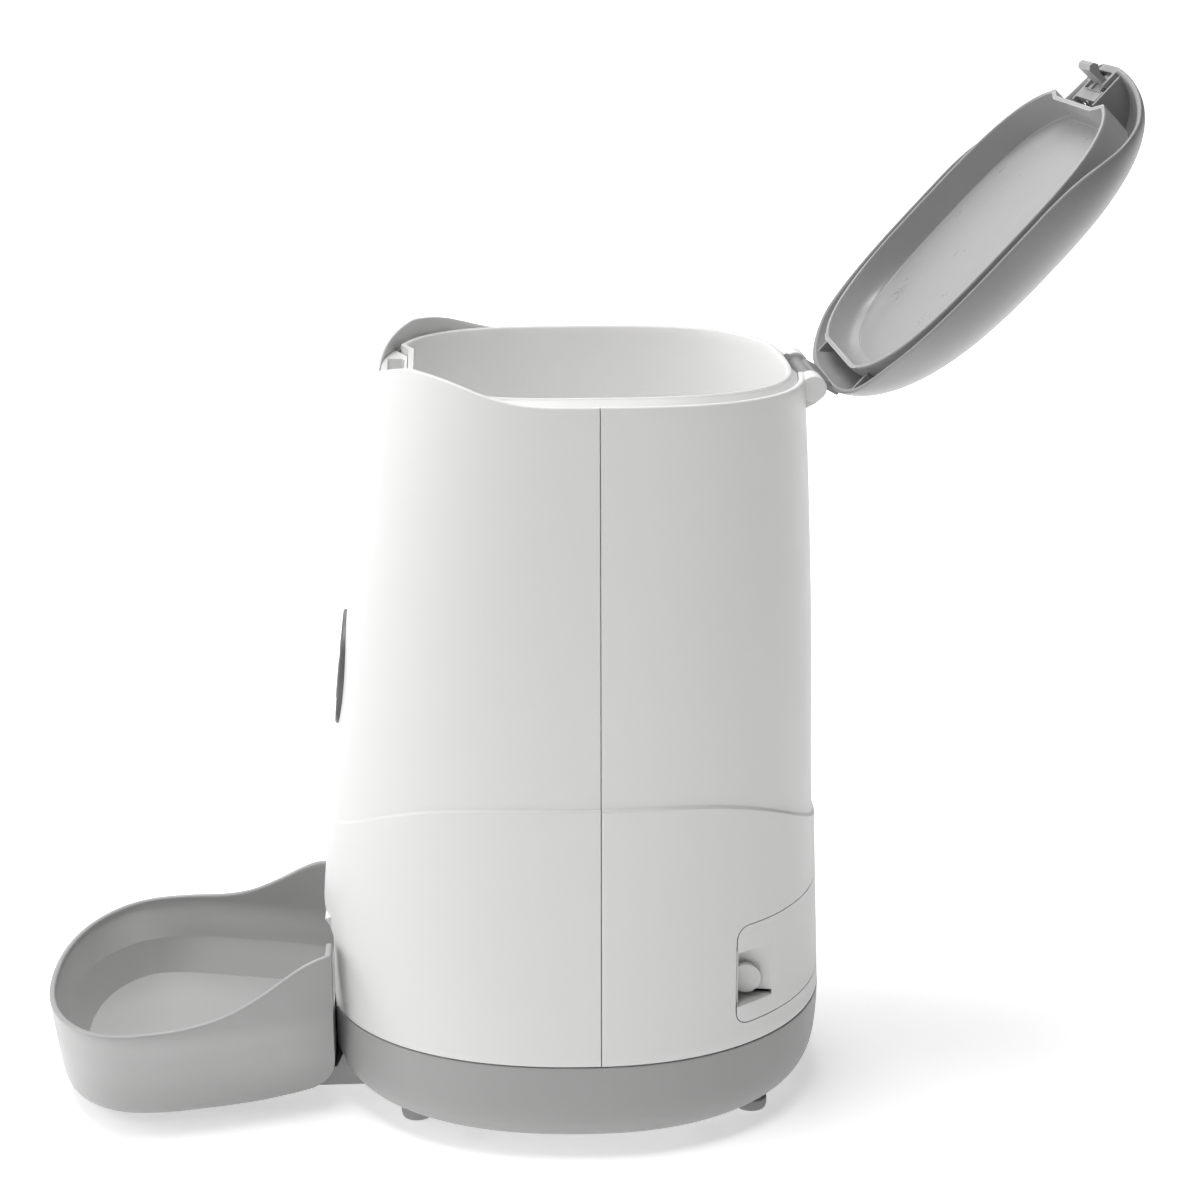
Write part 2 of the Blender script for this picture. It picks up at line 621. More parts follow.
# ----------------------------------------------------------------------- hopper
HOP_Z = np.array([141.0, 184.0, 200.0, 250.0, 294.5])
ROTOR_Y = -3.0
th = np.linspace(0, 2 * pi, 300, endpoint=False)


def hop_row(z, off):
    if z >= 200:
        a, bf, br, n = [np.interp(z, [200, 250, 294.5], v) for v in ((80.6, 82.2, 83.0), (73.0, 74.2, 75.0), (75.0, 77.0, 78.0), (2.9, 3.0, 3.0))]
        x, y = sup_xy(th, a, bf, br, n, n, off)
    else:
        # funnel: outline turns from the hopper to the round collar
        x1, y1 = sup_xy(th, 80.6, 73.0, 75.0, 2.9, 2.9, off)
        x2, y2 = sup_xy(th, 78.0, 70.5, 72.5, 2.8, 2.8, off)
        x3, y3 = (47.6 - off) * np.cos(th), ROTOR_Y + (47.6 - off) * np.sin(th)
        za, zb, zc = 200.0, 184.0, 141.0
        la, lb, lc = (z - zb) * (z - zc) / ((za - zb) * (za - zc)), (z - za) * (z - zc) / ((zb - za) * (zb - zc)), (z - za) * (z - zb) / ((zc - za) * (zc - zb))
        x, y = la * x1 + lb * x2 + lc * x3, la * y1 + lb * y2 + lc * y3
    return np.stack([x, y, np.full(len(th), z)], -1)


hz = np.concatenate([np.linspace(141.0, 200.0, 26), np.linspace(206, 293.8, 26)])
out = [hop_row(z, 0.0) for z in hz] + [hop_row(293.8 + 0.7 * sin(t), 0.7 * (1 - cos(t))) for t in np.radians([30, 60, 90])]
inn = [hop_row(293.8 + 0.7 * sin(t), 2.2 - 0.7 * (1 - cos(t))) for t in np.radians([90, 60, 30])] + [hop_row(z, 2.2) for z in hz[::-1]]
P = np.array(out + inn)
L, C = P.shape[:2]
hop = mesh_obj("hopper_tub", P.reshape(-1, 3), quads(L, C, True, True))
NOTCH = [(44.5, -90), (44.5, -74.6), (42.5, -74.0), (28.0, -69.4), (-28.0, -69.4), (-42.5, -74.0), (-44.5, -74.6), (-44.5, -90)]
NOTCH_IN = [(44.5, -90), (42.8, -72.2), (28.4, -67.2), (-28.4, -67.2), (-42.8, -72.2), (-44.5, -90)]
full = tub_obj("tool", np.array([hop_row(z, 0.02) for z in np.linspace(205, 294.4, 14)]))
wall = prism_z(NOTCH_IN, 262, 294.4)
cut(wall, prism_z(NOTCH, 264.2, 300))
boolean(wall, full, "INTERSECT")
cut(hop, prism_z(NOTCH, 264.2, 300))
add(hop, wall)
fl_lo = np.stack(sup_xy(th, *rows_at(np.full(300, 291.9), UPZ), WALL + 0.35), -1)
fl_hi = np.stack(sup_xy(th, 83.0, 75.0, 78.0, 3.0, 3.0, 0.4), -1)


def flat(xy, z):
    return np.concatenate([xy, np.full((len(xy), 1), z)], 1)


flange = tub_obj("tool", np.array([flat(fl_lo, 284.0), flat(fl_lo, 291.5), flat(fl_lo + (fl_hi - fl_lo) * 0.06, 291.86), flat(fl_lo + (fl_hi - fl_lo) * 0.14, 292.05), flat(fl_hi, 294.2)]))
cut(flange, tub_obj("tool", np.array([flat(fl_lo * 1.002, 282.0), flat(fl_lo * 1.002, 290.3), flat(fl_hi, 292.6)])))
gy = [np.stack([*sup_xy(th, 83.0, 75.0, 78.0, 3.0, 3.0, 0.6), np.full(300, z)], -1) for z in (280.0, 300.0)]
cut(flange, tub_obj("tool", np.array(gy)), box(-44.4, 44.4, -90, -66, 270, 300), box(-KN_IN - 0.2, KN_IN + 0.2, 77.6, 100, 270, 300))
add(hop, flange)
col = bar(48.6, (0, ROTOR_Y, 138.4), (0, ROTOR_Y, 141.6), 160)
cut(col, bar(45.4, (0, ROTOR_Y, 130), (0, ROTOR_Y, 150), 160))
add(hop, col)
finish_mesh(hop, "hopper_tub")
stand_for(hop, "hopper", "housing")

# --------------------------------------------------------------------- lid skin
LID_H, LID_Z0, LID_INSET = 30.1, 289.7, 0.8
P_SIDE, P_FRONT, P_REAR, CROWN_SHIFT = 3.03, 2.67, 2.21, 6.3
tl = even_angles(340, (89.1, 82.3, 83.2, 2.6, 2.93), -pi / 2, 1.5 * pi, closed=True)


def lid_edge_z(x, y):
    zy = pchip(CREST_Y[:, 0], CREST_Y[:, 1], y)
    zx = pchip(CREST_X[:, 0], CREST_X[:, 1], np.abs(x))
    w = smooth((-y - 47.0) / 6.0)
    return zy * (1 - w) + np.minimum(zy, zx) * w + 0.6 + 2.6 * smooth((y - 58) / 26)


def meridian(off, h, n=700):
    """Dense profile of the lid from skirt to crown for every column: (points, columns, 3)."""
    x0, y0 = sup_xy(tl, 89.1, 82.3, 83.2, 2.60, 2.93, LID_INSET + off)
    lean = np.sin(tl) ** 2
    p = P_SIDE + (np.where(y0 < 0, P_FRONT, P_REAR) - P_SIDE) * lean
    ph = np.linspace(0, pi / 2, n)[:, None]
    # even spacing along the curve: a circle-like parameter, flattened by p
    cu, su = np.cos(ph) ** (2 / p), np.sin(ph) ** (2 / p)
    k = np.where(ph > pi / 2 - 1e-9, 0.0, cu)
    u = np.where(ph < 1e-9, 0.0, su)
    pts = np.stack([x0 * k, y0 * k - CROWN_SHIFT * 4 * k * (1 - k), LID_Z0 + h * u], -1)
    zs = np.linspace(LID_Z0 - 7.9, LID_Z0, 60)[:-1]
    sk = np.stack([np.broadcast_to(x0, (len(zs), len(tl))), np.broadcast_to(y0, (len(zs), len(tl))), np.broadcast_to(zs[:, None], (len(zs), len(tl)))], -1)
    return np.concatenate([sk, pts], 0)


def above_edge(M, lift, fracs):
    """Points at the given fractions of the way from the edge (raised by lift) to the crown."""
    out = np.zeros((len(fracs), M.shape[1], 3))
    for j in range(M.shape[1]):
        c = M[:, j]
        g = c[:, 2] - lid_edge_z(c[:, 0], c[:, 1]) - lift
        i = int(np.argmax(g > 0))
        f = -g[i - 1] / (g[i] - g[i - 1]) if i > 0 else 0.0
        start = c[i - 1] + f * (c[i] - c[i - 1])
        q = np.concatenate([[start], c[i:]])
        s = np.concatenate([[0], np.cumsum(np.linalg.norm(np.diff(q, axis=0), axis=1))])
        t = np.asarray(fracs) * s[-1]
        for a in range(3):
            out[:, j, a] = np.interp(t, s, q[:, a])
    return out


R_RIM = 0.75
MO, MI = meridian(0.0, LID_H), meridian(2.1, LID_H - 2.1)
fr = np.linspace(0, 1, 74)[:-1] ** 1.12
outer = above_edge(MO, R_RIM, fr)
inner = above_edge(MI, R_RIM, fr)
rim = []
for t in np.radians([30, 60, 90]):
    lift = R_RIM * (1 - sin(t))
    a, b = above_edge(MO, lift, [0.0])[0], above_edge(MI, lift, [0.0])[0]
    f = R_RIM * (1 - cos(t)) / 2.1
    rim.append((a * (1 - f) + b * f, a * f + b * (1 - f)))
rows = list(outer[::-1]) + [r[0] for r in rim] + [r[1] for r in rim[::-1]] + list(inner)
P = np.array(rows)
R, C = P.shape[:2]
V = P.reshape(-1, 3).tolist()
F = quads(R, C, False, True)
for row_i, crown in ((0, MO[-1, 0]), (R - 1, MI[-1, 0])):
    V.append(list(crown))
    F += [[row_i * C + i, row_i * C + (i + 1) % C, len(V) - 1] for i in range(C)]
lid = mesh_obj("lid", V, F)


def dome_solid(drop, off):
    """Filled lid shape, used to trim what sits inside it."""
    M = meridian(off, LID_H - drop, 60)
    keep = [0] + list(range(59, M.shape[0] - 1))
    Q = M[keep]
    V = Q.reshape(-1, 3).tolist() + [M[0].mean(0).tolist(), M[-1, 0].tolist()]
    R, C = Q.shape[:2]
    F = quads(R, C, False, True) + [[i, (i + 1) % C, len(V) - 2] for i in range(C)] + [[(R - 1) * C + i, (R - 1) * C + (i + 1) % C, len(V) - 1] for i in range(C)]
    return mesh_obj("tool", V, F)


cut(lid, prism([(x, -92, z) for x, z in [(-13.3, 280), (13.3, 280), (13.3, 304.6), (12.1, 305.8), (-12.1, 305.8), (-13.3, 304.6)]], (0, 22, 0)))
dm = dome_solid(0.8, 0.8)
for sx in (-1, 1):
    ch = box(sx * 15.2, sx * 17.0, -78.6, -64.0, 295.0, 314)
    boolean(ch, dm, "INTERSECT", keep=True)
    add(lid, ch)
cut(lid, bar(KN_R + 0.7, (-34.2, HINGE_Y, HINGE_Z), (34.2, HINGE_Y, HINGE_Z), 72))
arm = prism_x([(HINGE_Y - 4.2, HINGE_Z + 0.5), (HINGE_Y - 5.4, HINGE_Z + 5.5), (HINGE_Y - 5.6, HINGE_Z + 11.5),
               (HINGE_Y - 3.6, HINGE_Z + 11.5), (HINGE_Y - 2.2, HINGE_Z + 6.0), (HINGE_Y + 3.2, HINGE_Z + 2.6), (HINGE_Y + 4.2, HINGE_Z)], -19.6, 19.6)
add(arm, bar(3.2, (-19.6, HINGE_Y, HINGE_Z), (19.6, HINGE_Y, HINGE_Z), 64, 0.5))
add(lid, arm)
cut(lid, bar(1.56, (-40, HINGE_Y, HINGE_Z), (40, HINGE_Y, HINGE_Z), 40))
for x in (-44, 44):
    rib = box(x - 0.8, x + 0.8, 66.5, 76.5, 296, 312)
    boolean(rib, dm, "INTERSECT", keep=True)
    add(lid, rib)
bpy.data.objects.remove(dm)
finish_mesh(lid, "lid_cover")
swing(lid)
stand_for(lid, "lid_shell", "lid")

# -------------------------------------------------------------------- lid liner
LR_Z = 292.4
tn = np.linspace(0, 2 * pi, 320, endpoint=False)


L_Z, L_BR, L_OFF = [0.0, 7.0, 10.8, 14.0], [71.2, 70.4, 68.2, 62.0], [0.0, 0.4, 0.7, 1.0]
LI_Z, LI_BR, LI_OFF = [-0.2, 7.0, 10.4, 12.3], [71.2, 70.4, 68.2, 65.0], [1.7, 2.1, 2.4, 2.6]


def liner_row(dz, inside, extra=0.0, rise=0.0):
    """Outline of one face of the liner, dz above its rim; extra moves it inwards, rise upwards."""
    zs, brs, offs = (LI_Z, LI_BR, LI_OFF) if inside else (L_Z, L_BR, L_OFF)
    br, off = float(spline(zs, brs, np.array(dz))), float(spline(zs, offs, np.array(dz)))
    x, y = sup_xy(tn, 80.3, 66.8, br, 3.1, 3.0, off + extra)
    return np.stack([x, y, np.full(len(tn), LR_Z + dz + rise)], -1)


LR_F = 0.55                          # rounding between wall and floor
rows = [liner_row(14.0 - LR_F, False, LR_F + 8.0, LR_F), liner_row(14.0 - LR_F, False, LR_F + 0.8, LR_F)]
for t in np.radians([90, 68, 45, 22, 0]):
    rows.append(liner_row(14.0 - LR_F, False, LR_F * (1 - cos(t)), LR_F * sin(t)))
for dz in np.linspace(14.0 - LR_F, 0.6, 18)[1:]:
    rows.append(liner_row(dz, False))
for t in np.radians([30, 60, 90]):
    rows.append(liner_row(0.6, False, 0.6 * (1 - cos(t)), -0.6 * sin(t)))
for t in np.radians([90, 60, 30, 0]):
    rows.append(liner_row(0.6, True, -0.6 * (1 - cos(t)), -0.6 * sin(t)))
for dz in np.linspace(0.6, 12.3 - LR_F, 18)[1:]:
    rows.append(liner_row(dz, True))
for t in np.radians([22, 45, 68, 90]):
    rows.append(liner_row(12.3 - LR_F, True, LR_F * (1 - cos(t)), LR_F * sin(t)))
rows += [liner_row(12.3 - LR_F, True, LR_F + 0.8, LR_F), liner_row(12.3 - LR_F, True, LR_F + 8.0, LR_F)]
lin = tub_obj("liner", np.array(rows))
lfull = tub_obj("tool", np.array([liner_row(dz, False) for dz in np.linspace(0.0, 13.9, 16)]))
LN = [(41.5, -80), (41.0, -65.0), (28.6, -61.9), (-28.6, -61.9), (-41.0, -65.0), (-41.5, -80)]
LN_IN = [(43.4, -80), (42.2, -63.4), (29.4, -60.2), (-29.4, -60.2), (-42.2, -63.4), (-43.4, -80)]
lw = prism_z(LN_IN, LR_Z, LR_Z + 14)
cut(lw, prism_z(LN, LR_Z - 1, LR_Z + 16))
boolean(lw, lfull, "INTERSECT", keep=True)
cut(lin, prism_z(LN, LR_Z - 1, LR_Z + 16))
add(lin, lw)
cut(lin, box(-50, 50, 69.7, 90, LR_Z - 1, LR_Z + 16))
ew = box(-50, 50, 68.0, 69.7, LR_Z, LR_Z + 13)
boolean(ew, lfull, "INTERSECT", keep=True)
add(lin, ew)
bpy.data.objects.remove(lfull)
finish_mesh(lin, "lid_inner_tub")
swing(lin)
stand_for(lin, "lid_liner", "lid")

# ----------------------------------------------------------------- latch spring
SP_Y0, SP_LEN, SP_TURNS, SP_R, SP_W, SP_Z = -66.7, 4.3, 3.07, 1.75, 0.28, 297.6
ts = np.linspace(0, 1, 200)
an = 2 * pi * SP_TURNS * ts
mid = np.stack([SP_R * np.cos(an), SP_Y0 + SP_LEN * ts, SP_Z + SP_R * np.sin(an)], -1)
e1 = np.stack([np.cos(an), 0 * an, np.sin(an)], -1)
tg = np.gradient(mid, axis=0)
tg /= np.linalg.norm(tg, axis=1)[:, None]
e2 = np.cross(tg, e1)
ph = np.linspace(0, 2 * pi, 16, endpoint=False)
spr = tub_obj("latch_coil", np.array([c + SP_W * (np.cos(ph)[:, None] * a + np.sin(ph)[:, None] * b) for c, a, b in zip(mid, e1, e2)]))
for f in spr.data.polygons:
    f.use_smooth = True
swing(spr)
stand_for(spr, "latch_spring", "lid")
# its rear end is held in the lid and the slider pushes the front end back
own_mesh(spr)

# ------------------------------------------------------------------------- bowl
BOWL_END_Y = -103.2
BO = np.array([(52.7, BOWL_END_Y), (57.2, -112), (60.6, -120), (63.2, -128), (65.6, -136), (67.8, -144), (70.0, -152), (72.2, -160),
               (73.8, -168), (74.3, -176), (73.8, -184), (71.0, -192), (64.2, -200.6), (51.0, -209.6), (27.5, -217.2), (0, -219.4)])
RIMP = np.array([(-226, 42.8), (-216, 43.8), (-208, 44.6), (-200, 45.2), (-192, 45.7), (-184, 46.2), (-176, 46.7), (-168, 47.2), (-160, 47.8),
                 (-152, 48.9), (-144, 50.9), (-136, 54.3), (-128, 58.7), (-120, 63.6), (-112, 67.5), (-104, 69.2), (-100, 69.6)])
NS, ND = 118, 34                     # points along half the bowl, and along its docking side


def bowl_row(kx, ky, z, off, y_end, rim_lift=None):
    """Closed outline; z may be a number or, with rim_lift, the rim curve lowered by it."""
    zz = 60.0 if rim_lift is not None else z
    nd = 0.07 * float(smooth(np.array((34.0 - zz) / 26.0)))
    x = BO[:, 0] * kx * (1 - nd * smooth((BO[:, 1] + 150) / 44.0))
    y = np.where(BO[:, 1] < -160, -160 + (BO[:, 1] + 160) * ky, BO[:, 1])
    # mirror, then one smooth curve by length
    X = np.concatenate([x, -x[-2::-1]])
    Y = np.concatenate([y, y[-2::-1]])
    s = np.concatenate([[0], np.cumsum(np.hypot(np.diff(X), np.diff(Y)))])
    g = np.linspace(0, s[-1], 1201)
    xs, ys = spline(s, X, g), spline(s, Y, g)
    tx, ty = np.gradient(xs), np.gradient(ys)
    m = np.hypot(tx, ty)
    xs, ys = xs + ty / m * off, ys - tx / m * off
    ok = (ys <= y_end + 1e-6)
    i0 = int(np.argmax(ok))
    if i0 > 0:
        f = (y_end - ys[i0 - 1]) / (ys[i0] - ys[i0 - 1])
        xa = xs[i0 - 1] + f * (xs[i0] - xs[i0 - 1])
    else:
        xa = xs[0] + (y_end - ys[0]) * (xs[1] - xs[0]) / (ys[1] - ys[0])
    h0 = max(i0, 1)
    xs, ys = np.concatenate([[xa], xs[h0:601]]), np.concatenate([[y_end], ys[h0:601]])
    s = np.concatenate([[0], np.cumsum(np.hypot(np.diff(xs), np.diff(ys)))])
    g = np.linspace(0, s[-1], NS)
    hx, hy = np.interp(g, s, xs), np.interp(g, s, ys)
    hx[-1] = 0.0
    dx = np.linspace(-hx[0], hx[0], ND + 1)[1:-1]
    X = np.concatenate([hx, -hx[-2::-1], dx])
    Y = np.concatenate([hy, hy[-2::-1], np.full(len(dx), y_end)])
    Z = np.full(len(X), float(z)) if rim_lift is None else pchip(RIMP[:, 0], RIMP[:, 1], Y) - rim_lift
    return np.stack([X, Y, Z], -1)


KZ = [4.4, 6.4, 11.0, 22.0, 34.0, 46.0, 60.0, 74.0]
KX = [.700, .765, .812, .868, .932, .992, 1.0, 1.0]
KY = [.860, .905, .930, .958, .980, .997, 1.0, 1.0]
BREAK_Z, FLOOR_Z = 31.0, 17.5        # the wall turns inwards at the first, the flat floor is the second


def out_k(z):
    return float(pchip(KZ, KX, np.array(z))), float(pchip(KZ, KY, np.array(z)))


def wall_row(off, y_end, z, zk=None):
    """Row of the wall surface, drawn like the rows that run up to the rim."""
    base = bowl_row(1.0, 1.0, 60.0, off, y_end)
    zz = z if zk is None else zk
    kx, ky = out_k(zz)
    nd = 0.07 * float(smooth(np.array((34.0 - zz) / 26.0)))
    yy = np.where(base[:, 1] < -160, -160 + (base[:, 1] + 160) * ky, base[:, 1])
    return np.stack([base[:, 0] * kx * (1 - nd * smooth((base[:, 1] + 150) / 44.0)), yy, np.full(len(yy), float(z))], -1)


B_LOW = 38.0                         # everything above follows the rim curve
RB = 0.85
FRONT_TOP = 42.0                     # at the front the wall slopes evenly from here to the floor


def front_share(y):
    return smooth((-160.0 - y) / 38.0)


def in_row(z):
    """Inside of the dish: follows the outside down to the break, then slopes in to the floor."""
    f = max(0.0, (BREAK_Z - z) / (BREAK_Z - FLOOR_Z))
    g = max(0.0, (FRONT_TOP - z) / (FRONT_TOP - FLOOR_Z)) ** 1.25
    zk = max(z, BREAK_Z)
    side = wall_row(2.4 + 10.5 * f ** 1.12, -105.6 - 14.4 * f, z, zk)
    front = wall_row(2.4 + 10.5 * g, -105.6 - 14.4 * f, z, zk)
    w = front_share(side[:, 1])[:, None]
    return side * (1 - w) + front * w


rows = [bowl_row(.700, .860, 4.4, 6.0, BOWL_END_Y - 4), bowl_row(.700, .860, 4.4, 0.6, BOWL_END_Y)]
zl = np.concatenate([np.linspace(4.5, 6.4, 5), np.linspace(7.2, B_LOW, 22)])
for z in zl:
    rows.append(wall_row(0.0, BOWL_END_Y, z))


def rim_row(off, y_end, lift):
    """Row just under the rim; the wall flares a little above the low row."""
    r0 = bowl_row(1.0, 1.0, 60.0, off, y_end, lift)
    out = r0.copy()
    z = r0[:, 2]
    kx, ky = pchip(KZ, KX, z), pchip(KZ, KY, z)
    yy = np.where(r0[:, 1] < -160, -160 + (r0[:, 1] + 160) * ky, r0[:, 1])
    out[:, 0] = r0[:, 0] * kx
    out[:, 1] = yy
    return out


def between(off, y_end, f):
    """Row at fraction f between the low row and the rim, on the wall surface itself."""
    top = rim_row(off, y_end, RB)
    z = B_LOW + (top[:, 2] - B_LOW) * f
    base = bowl_row(1.0, 1.0, 60.0, off, y_end)
    kx, ky = pchip(KZ, KX, z), pchip(KZ, KY, z)
    yy = np.where(base[:, 1] < -160, -160 + (base[:, 1] + 160) * ky, base[:, 1])
    return np.stack([base[:, 0] * kx, yy, z], -1)


for f in np.linspace(0, 1, 20)[1:]:
    rows.append(between(0.0, BOWL_END_Y, f))
for t in np.radians([30, 60, 90]):
    rows.append(rim_row(RB * (1 - cos(t)), BOWL_END_Y - RB * (1 - cos(t)), RB * (1 - sin(t))))
for t in np.radians([90, 60, 30]):
    rows.append(rim_row(2.4 - RB * (1 - cos(t)), -105.6 + RB * (1 - cos(t)), RB * (1 - sin(t))))
for f in np.linspace(1, 0, 20)[:-1]:
    side = between(2.4, -105.6, f)
    g = np.clip((FRONT_TOP - side[:, 2]) / (FRONT_TOP - FLOOR_Z), 0, 1) ** 1.25
    full = between(2.4 + 10.5, -105.6, f)
    w = (front_share(side[:, 1]) * g)[:, None]
    rows.append(np.concatenate([(side * (1 - w) + full * w)[:, :2], side[:, 2:]], -1))
for z in np.concatenate([np.linspace(B_LOW, 32.2, 6), [31.7, 31.3, 31.0, 30.7, 30.3, 29.8], np.linspace(29.0, 18.2, 12), [17.9, 17.65, FLOOR_Z]]):
    rows.append(in_row(z))
for o2, dz in ((0.35, -0.06), (0.9, -0.08), (8.0, -0.08)):
    rows.append(wall_row(12.9 + o2, -120.0 - o2, FLOOR_Z + dz, BREAK_Z))
bowl = tub_obj("bowl", np.array(rows))
under = [(3.0, .700, .860, 2.6), (10.0, .790, .915, 2.6), (15.4, .800, .92, 4.0)]
cut(bowl, tub_obj("tool", np.array([bowl_row(kx, ky, z, o, -106.0) for z, kx, ky, o in under])))
cut(bowl, box(-40, 40, -110, -100, 40.5, 80))
cut(bowl, box(-34, 34, -109, -100, 0, 13.9))
cut(bowl, prism_x([(-168, 4.3), (-140, 5.4), (-118, 7.4), (-112, 8.2), (-108.6, 9.9), (-106.0, 12.2), (-104.3, 15.2), (-103.4, 18.4), (-103.1, 22.0), (-100, 22.0), (-100, 0), (-168, 0)], -90, 90))
finish_mesh(bowl, "food_dish")
stand_for(bowl, "bowl", "food_bowl")


# -------------------------------------------------------------------- materials
def srgb(v):
    v = v / 255.0
    return v / 12.92 if v <= 0.04045 else ((v + 0.055) / 1.055) ** 2.4


class Mat:
    """Small helper around one node tree."""

    def __init__(self, name):
        self.m = bpy.data.materials.new(name)
        self.m.use_nodes = True
        self.nt = self.m.node_tree
        self.nt.nodes.clear()
        self.out = self.nt.nodes.new("ShaderNodeOutputMaterial")
        self.p = self.nt.nodes.new("ShaderNodeBsdfPrincipled")
        self.nt.links.new(self.p.outputs["BSDF"], self.out.inputs["Surface"])
        self.tc = self.nt.nodes.new("ShaderNodeTexCoord")

    def n(self, kind, **kw):
        nd = self.nt.nodes.new(kind)
        for k, v in kw.items():
            setattr(nd, k, v)
        return nd

    def ln(self, a, b):
        self.nt.links.new(a, b)

    def noise(self, scale, detail=2.0, rough=0.5, stretch=None, seed=0.0):
        nd = self.n("ShaderNodeTexNoise")
        nd.inputs["Scale"].default_value = scale
        nd.inputs["Detail"].default_value = detail
        nd.inputs["Roughness"].default_value = rough
        mp = self.n("ShaderNodeMapping")
        mp.inputs["Location"].default_value = (seed, seed * 0.7, seed * 1.3)
        if stretch:
            mp.inputs["Scale"].default_value = stretch
        self.ln(self.tc.outputs["Object"], mp.inputs["Vector"])
        self.ln(mp.outputs["Vector"], nd.inputs["Vector"])
        return nd.outputs["Fac"]

    def rng(self, fac, a0, a1, b0, b1, clamp=True):
        nd = self.n("ShaderNodeMapRange")
        nd.clamp = clamp
        for k, v in zip(("From Min", "From Max", "To Min", "To Max"), (a0, a1, b0, b1)):
            nd.inputs[k].default_value = v
        self.ln(fac, nd.inputs["Value"])
        return nd.outputs["Result"]

    def mix(self, fac, a, b):
        nd = self.n("ShaderNodeMix", data_type="RGBA")
        self.ln(fac, nd.inputs["Factor"])
        for sock, v in ((nd.inputs[6], a), (nd.inputs[7], b)):
            if isinstance(v, tuple):
                sock.default_value = (*v, 1.0)
            else:
                self.ln(v, sock)
        return nd.outputs[2]

    def math(self, op, a, b=None):
        nd = self.n("ShaderNodeMath", operation=op)
        for i, v in enumerate((a, b)):
            if v is None:
                continue
            if isinstance(v, (int, float)):
                nd.inputs[i].default_value = v
            else:
                self.ln(v, nd.inputs[i])
        return nd.outputs[0]

    def edge(self, radius, lo=0.999, hi=0.90):
        """0 on flat faces, 1 on convex and concave edges."""
        bv = self.n("ShaderNodeBevel", samples=8)
        bv.inputs["Radius"].default_value = radius
        g = self.n("ShaderNodeNewGeometry")
        d = self.n("ShaderNodeVectorMath", operation="DOT_PRODUCT")
        self.ln(bv.outputs["Normal"], d.inputs[0])
        self.ln(g.outputs["Normal"], d.inputs[1])
        return self.rng(d.outputs["Value"], lo, hi, 0.0, 1.0)

    def bump(self, height, strength, distance, normal=None):
        b = self.n("ShaderNodeBump")
        b.inputs["Strength"].default_value = strength
        b.inputs["Distance"].default_value = distance
        self.ln(height, b.inputs["Height"])
        if normal is not None:
            self.ln(normal, b.inputs["Normal"])
        return b.outputs["Normal"]

    def bevel(self, radius, samples=4):
        bv = self.n("ShaderNodeBevel", samples=samples)
        bv.inputs["Radius"].default_value = radius
        return bv.outputs["Normal"]


def plastic(name, col, rough=0.40, top=0.0, under=0.0, edge_r=0.0, var=0.018, grain=0.10, grain_scale=1500.0, bevel=0.0004, wear=0.35, wear_to=1.10, spec=0.5, waviness=0.05, seed=0.0, tint=None, sss=0.0):
    m = Mat(name)
    c = np.array(col if isinstance(col, (tuple, list)) else (col, col, col), float)
    lo = tuple(np.clip(c * (1 - var), 0, 1))
    hi = tuple(np.clip(c * (1 + var) * (np.array(tint) if tint else 1.0), 0, 1))
    broad = m.rng(m.noise(9.0, 3.0, 0.55, seed=seed), 0.3, 0.7, 0.0, 1.0)
    base = m.mix(broad, lo, hi)
    # fine speckle of the moulded grain in the colour, kept very weak
    spk = m.rng(m.noise(grain_scale * 0.6, 2.0, 0.6, seed=seed + 3), 0.35, 0.65, 0.0, 1.0)
    base = m.mix(m.math("MULTIPLY", spk, 0.35), base, tuple(np.clip(c * (1 - 2.2 * var), 0, 1)))
    if top:
        # faces that look straight up are a little duller than the walls
        g = m.n("ShaderNodeNewGeometry")
        sx = m.n("ShaderNodeSeparateXYZ")
        m.ln(g.outputs["Normal"], sx.inputs[0])
        base = m.mix(m.rng(sx.outputs["Z"], 0.35, 0.85, 0.0, top), base, tuple(c * 0.5))
    if under:
        # faces that look down are a little lighter
        g = m.n("ShaderNodeNewGeometry")
        sx = m.n("ShaderNodeSeparateXYZ")
        m.ln(g.outputs["Normal"], sx.inputs[0])
        base = m.mix(m.rng(sx.outputs["Z"], 0.10, -0.70, 0.0, 1.0), base, tuple(c * (1 + under)))
    if wear:
        e = m.math("MULTIPLY", m.edge(edge_r, 0.975, 0.84) if edge_r else m.edge(max(bevel, 0.0003) * 1.6), m.rng(m.noise(60.0, 3.0, 0.6, seed=seed + 5), 0.35, 0.65, wear * 0.4, wear))
        base = m.mix(e, base, tuple(np.clip(c * wear_to, 0, 1)))
    m.ln(base, m.p.inputs["Base Color"])
    ro = m.rng(m.noise(55.0, 4.0, 0.6, seed=seed + 1), 0.3, 0.7, rough - 0.045, rough + 0.045)
    ro2 = m.math("ADD", ro, m.rng(m.noise(grain_scale, 1.0, 0.5, seed=seed + 2), 0.3, 0.7, -0.02, 0.02))
    m.ln(ro2, m.p.inputs["Roughness"])
    nrm = m.bevel(bevel) if bevel else None
    nrm = m.bump(m.noise(26.0, 2.0, 0.5, seed=seed + 4), waviness, 0.0004, nrm)
    nrm = m.bump(m.noise(grain_scale, 3.0, 0.6, seed=seed + 2), grain, 0.00004, nrm)
    m.ln(nrm, m.p.inputs["Normal"])
    m.p.inputs["Specular IOR Level"].default_value = spec
    m.p.inputs["IOR"].default_value = 1.49
    if sss:
        m.p.inputs["Subsurface Weight"].default_value = sss
        m.p.inputs["Subsurface Radius"].default_value = (0.002, 0.0018, 0.0016)
    return m.m


